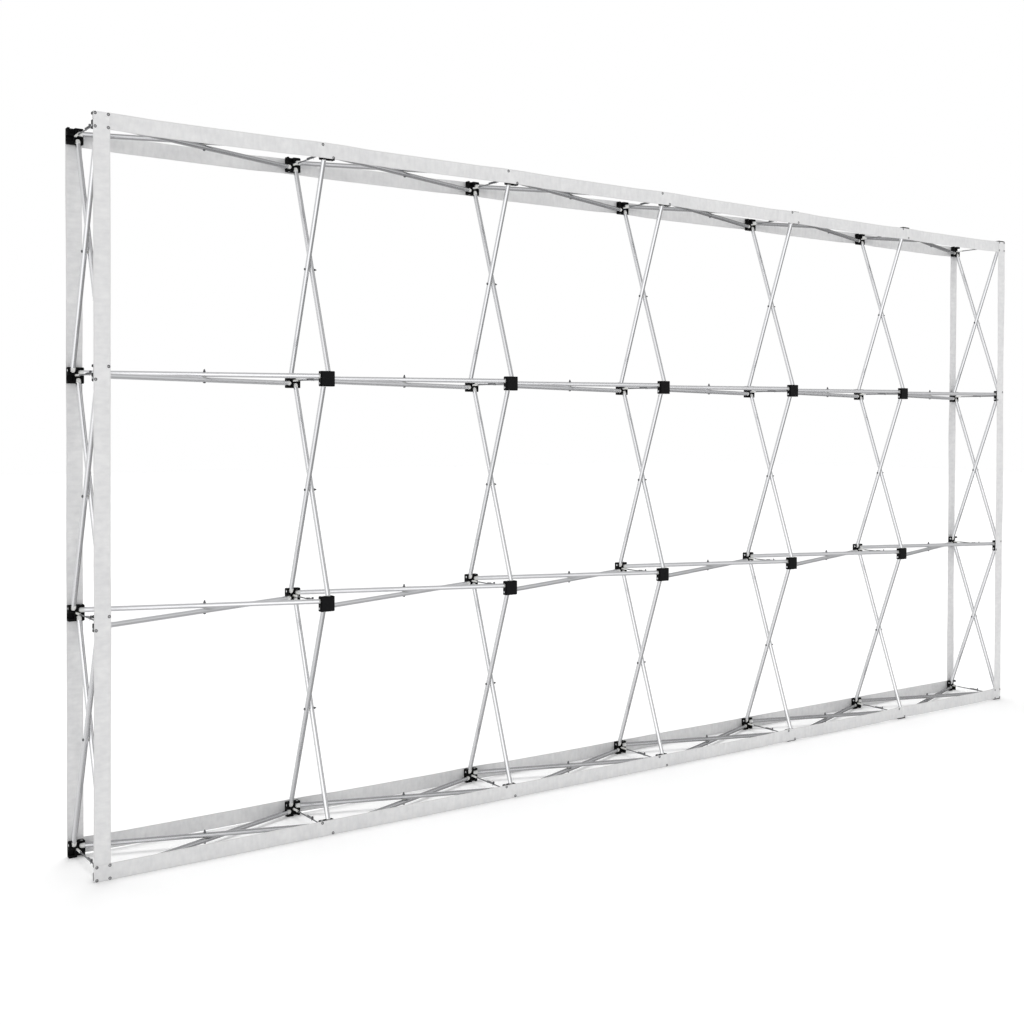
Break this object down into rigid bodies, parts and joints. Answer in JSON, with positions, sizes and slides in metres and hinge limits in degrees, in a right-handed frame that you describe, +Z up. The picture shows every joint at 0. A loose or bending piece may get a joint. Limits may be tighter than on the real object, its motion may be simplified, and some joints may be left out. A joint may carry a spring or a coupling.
{
  "type": "banner wall",
  "caption": "Free-standing straight pop-up banner wall: front and back hubs joined by crossed tubes, with loop strips round the edges and a swinging lock arm at each hub.",
  "frame": {"origin": "middle of the footprint, on the floor", "axes": "+X to the right along the wall as its front is seen, +Y from the front face to the back, +Z up"},
  "size_m": [4.4485, 0.2764, 2.2495],
  "materials": {
    "hub_moulding": "moulded",
    "strut_tube": "satin anodised",
    "tip_nylon": "moulded",
    "socket_nylon": "moulded",
    "washer_nylon": "moulded",
    "pin_steel": "zinc plated",
    "lock_steel": "zinc plated",
    "hook_tape": "woven hooks",
    "loop_tape": "brushed loops",
    "eyelet_metal": "nickel plated"
  },
  "bodies": {
    "frame": {"front_edge_hubs": "hub_moulding", "front_inner_hubs": "hub_moulding", "back_edge_hubs": "hub_moulding", "back_inner_hubs": "hub_moulding", "hub_pins": "pin_steel", "strut_tips": "tip_nylon", "crossing_rivets": "pin_steel", "crossing_washers": "washer_nylon", "lock_sockets": "socket_nylon", "lock_pins": "pin_steel", "catch_arms": "lock_steel", "grip_pads": "hook_tape", "strip_rivets": "eyelet_metal", "level_struts_row1": "strut_tube", "level_struts_row2": "strut_tube", "level_struts_row3": "strut_tube", "level_struts_row4": "strut_tube", "upright_struts_col1": "strut_tube", "upright_struts_col2": "strut_tube", "upright_struts_col3": "strut_tube", "upright_struts_col4": "strut_tube", "upright_struts_col5": "strut_tube", "upright_struts_col6": "strut_tube", "upright_struts_col7": "strut_tube", "front_top_strip": "loop_tape", "front_bottom_strip": "loop_tape", "front_left_strip": "loop_tape", "front_right_strip": "loop_tape", "back_top_strip": "loop_tape", "back_bottom_strip": "loop_tape", "back_left_strip": "loop_tape", "back_right_strip": "loop_tape"},
    "lock_arm_col1_row1": {"lock_arm_col1_row1": "lock_steel"},
    "lock_arm_col2_row1": {"lock_arm_col2_row1": "lock_steel"},
    "lock_arm_col3_row1": {"lock_arm_col3_row1": "lock_steel"},
    "lock_arm_col4_row1": {"lock_arm_col4_row1": "lock_steel"},
    "lock_arm_col5_row1": {"lock_arm_col5_row1": "lock_steel"},
    "lock_arm_col6_row1": {"lock_arm_col6_row1": "lock_steel"},
    "lock_arm_col7_row1": {"lock_arm_col7_row1": "lock_steel"},
    "lock_arm_col1_row2": {"lock_arm_col1_row2": "lock_steel"},
    "lock_arm_col2_row2": {"lock_arm_col2_row2": "lock_steel"},
    "lock_arm_col3_row2": {"lock_arm_col3_row2": "lock_steel"},
    "lock_arm_col4_row2": {"lock_arm_col4_row2": "lock_steel"},
    "lock_arm_col5_row2": {"lock_arm_col5_row2": "lock_steel"},
    "lock_arm_col6_row2": {"lock_arm_col6_row2": "lock_steel"},
    "lock_arm_col7_row2": {"lock_arm_col7_row2": "lock_steel"},
    "lock_arm_col1_row3": {"lock_arm_col1_row3": "lock_steel"},
    "lock_arm_col2_row3": {"lock_arm_col2_row3": "lock_steel"},
    "lock_arm_col3_row3": {"lock_arm_col3_row3": "lock_steel"},
    "lock_arm_col4_row3": {"lock_arm_col4_row3": "lock_steel"},
    "lock_arm_col5_row3": {"lock_arm_col5_row3": "lock_steel"},
    "lock_arm_col6_row3": {"lock_arm_col6_row3": "lock_steel"},
    "lock_arm_col7_row3": {"lock_arm_col7_row3": "lock_steel"},
    "lock_arm_col1_row4": {"lock_arm_col1_row4": "lock_steel"},
    "lock_arm_col2_row4": {"lock_arm_col2_row4": "lock_steel"},
    "lock_arm_col3_row4": {"lock_arm_col3_row4": "lock_steel"},
    "lock_arm_col4_row4": {"lock_arm_col4_row4": "lock_steel"},
    "lock_arm_col5_row4": {"lock_arm_col5_row4": "lock_steel"},
    "lock_arm_col6_row4": {"lock_arm_col6_row4": "lock_steel"},
    "lock_arm_col7_row4": {"lock_arm_col7_row4": "lock_steel"}
  },
  "joints": [
    {"name": "lock_swing_col1_row1", "type": "hinge", "parent": "frame", "child": "lock_arm_col1_row1", "pos_m": [-2.199, 0.086, 0.025], "axis": [-1, 0, 0], "range_deg": [0, 60]},
    {"name": "lock_swing_col2_row1", "type": "hinge", "parent": "frame", "child": "lock_arm_col2_row1", "pos_m": [-1.466, 0.086, 0.025], "axis": [-1, 0, 0], "range_deg": [0, 60]},
    {"name": "lock_swing_col3_row1", "type": "hinge", "parent": "frame", "child": "lock_arm_col3_row1", "pos_m": [-0.733, 0.086, 0.025], "axis": [-1, 0, 0], "range_deg": [0, 60]},
    {"name": "lock_swing_col4_row1", "type": "hinge", "parent": "frame", "child": "lock_arm_col4_row1", "pos_m": [0, 0.086, 0.025], "axis": [-1, 0, 0], "range_deg": [0, 60]},
    {"name": "lock_swing_col5_row1", "type": "hinge", "parent": "frame", "child": "lock_arm_col5_row1", "pos_m": [0.733, 0.086, 0.025], "axis": [-1, 0, 0], "range_deg": [0, 60]},
    {"name": "lock_swing_col6_row1", "type": "hinge", "parent": "frame", "child": "lock_arm_col6_row1", "pos_m": [1.466, 0.086, 0.025], "axis": [-1, 0, 0], "range_deg": [0, 60]},
    {"name": "lock_swing_col7_row1", "type": "hinge", "parent": "frame", "child": "lock_arm_col7_row1", "pos_m": [2.199, 0.086, 0.025], "axis": [-1, 0, 0], "range_deg": [0, 60]},
    {"name": "lock_swing_col1_row2", "type": "hinge", "parent": "frame", "child": "lock_arm_col1_row2", "pos_m": [-2.199, 0.086, 0.758], "axis": [-1, 0, 0], "range_deg": [0, 60]},
    {"name": "lock_swing_col2_row2", "type": "hinge", "parent": "frame", "child": "lock_arm_col2_row2", "pos_m": [-1.466, 0.086, 0.758], "axis": [-1, 0, 0], "range_deg": [0, 60]},
    {"name": "lock_swing_col3_row2", "type": "hinge", "parent": "frame", "child": "lock_arm_col3_row2", "pos_m": [-0.733, 0.086, 0.758], "axis": [-1, 0, 0], "range_deg": [0, 60]},
    {"name": "lock_swing_col4_row2", "type": "hinge", "parent": "frame", "child": "lock_arm_col4_row2", "pos_m": [0, 0.086, 0.758], "axis": [-1, 0, 0], "range_deg": [0, 60]},
    {"name": "lock_swing_col5_row2", "type": "hinge", "parent": "frame", "child": "lock_arm_col5_row2", "pos_m": [0.733, 0.086, 0.758], "axis": [-1, 0, 0], "range_deg": [0, 60]},
    {"name": "lock_swing_col6_row2", "type": "hinge", "parent": "frame", "child": "lock_arm_col6_row2", "pos_m": [1.466, 0.086, 0.758], "axis": [-1, 0, 0], "range_deg": [0, 60]},
    {"name": "lock_swing_col7_row2", "type": "hinge", "parent": "frame", "child": "lock_arm_col7_row2", "pos_m": [2.199, 0.086, 0.758], "axis": [-1, 0, 0], "range_deg": [0, 60]},
    {"name": "lock_swing_col1_row3", "type": "hinge", "parent": "frame", "child": "lock_arm_col1_row3", "pos_m": [-2.199, 0.086, 1.491], "axis": [-1, 0, 0], "range_deg": [0, 60]},
    {"name": "lock_swing_col2_row3", "type": "hinge", "parent": "frame", "child": "lock_arm_col2_row3", "pos_m": [-1.466, 0.086, 1.491], "axis": [-1, 0, 0], "range_deg": [0, 60]},
    {"name": "lock_swing_col3_row3", "type": "hinge", "parent": "frame", "child": "lock_arm_col3_row3", "pos_m": [-0.733, 0.086, 1.491], "axis": [-1, 0, 0], "range_deg": [0, 60]},
    {"name": "lock_swing_col4_row3", "type": "hinge", "parent": "frame", "child": "lock_arm_col4_row3", "pos_m": [0, 0.086, 1.491], "axis": [-1, 0, 0], "range_deg": [0, 60]},
    {"name": "lock_swing_col5_row3", "type": "hinge", "parent": "frame", "child": "lock_arm_col5_row3", "pos_m": [0.733, 0.086, 1.491], "axis": [-1, 0, 0], "range_deg": [0, 60]},
    {"name": "lock_swing_col6_row3", "type": "hinge", "parent": "frame", "child": "lock_arm_col6_row3", "pos_m": [1.466, 0.086, 1.491], "axis": [-1, 0, 0], "range_deg": [0, 60]},
    {"name": "lock_swing_col7_row3", "type": "hinge", "parent": "frame", "child": "lock_arm_col7_row3", "pos_m": [2.199, 0.086, 1.491], "axis": [-1, 0, 0], "range_deg": [0, 60]},
    {"name": "lock_swing_col1_row4", "type": "hinge", "parent": "frame", "child": "lock_arm_col1_row4", "pos_m": [-2.199, 0.086, 2.224], "axis": [-1, 0, 0], "range_deg": [0, 60]},
    {"name": "lock_swing_col2_row4", "type": "hinge", "parent": "frame", "child": "lock_arm_col2_row4", "pos_m": [-1.466, 0.086, 2.224], "axis": [-1, 0, 0], "range_deg": [0, 60]},
    {"name": "lock_swing_col3_row4", "type": "hinge", "parent": "frame", "child": "lock_arm_col3_row4", "pos_m": [-0.733, 0.086, 2.224], "axis": [-1, 0, 0], "range_deg": [0, 60]},
    {"name": "lock_swing_col4_row4", "type": "hinge", "parent": "frame", "child": "lock_arm_col4_row4", "pos_m": [0, 0.086, 2.224], "axis": [-1, 0, 0], "range_deg": [0, 60]},
    {"name": "lock_swing_col5_row4", "type": "hinge", "parent": "frame", "child": "lock_arm_col5_row4", "pos_m": [0.733, 0.086, 2.224], "axis": [-1, 0, 0], "range_deg": [0, 60]},
    {"name": "lock_swing_col6_row4", "type": "hinge", "parent": "frame", "child": "lock_arm_col6_row4", "pos_m": [1.466, 0.086, 2.224], "axis": [-1, 0, 0], "range_deg": [0, 60]},
    {"name": "lock_swing_col7_row4", "type": "hinge", "parent": "frame", "child": "lock_arm_col7_row4", "pos_m": [2.199, 0.086, 2.224], "axis": [-1, 0, 0], "range_deg": [0, 60]}
  ]
}
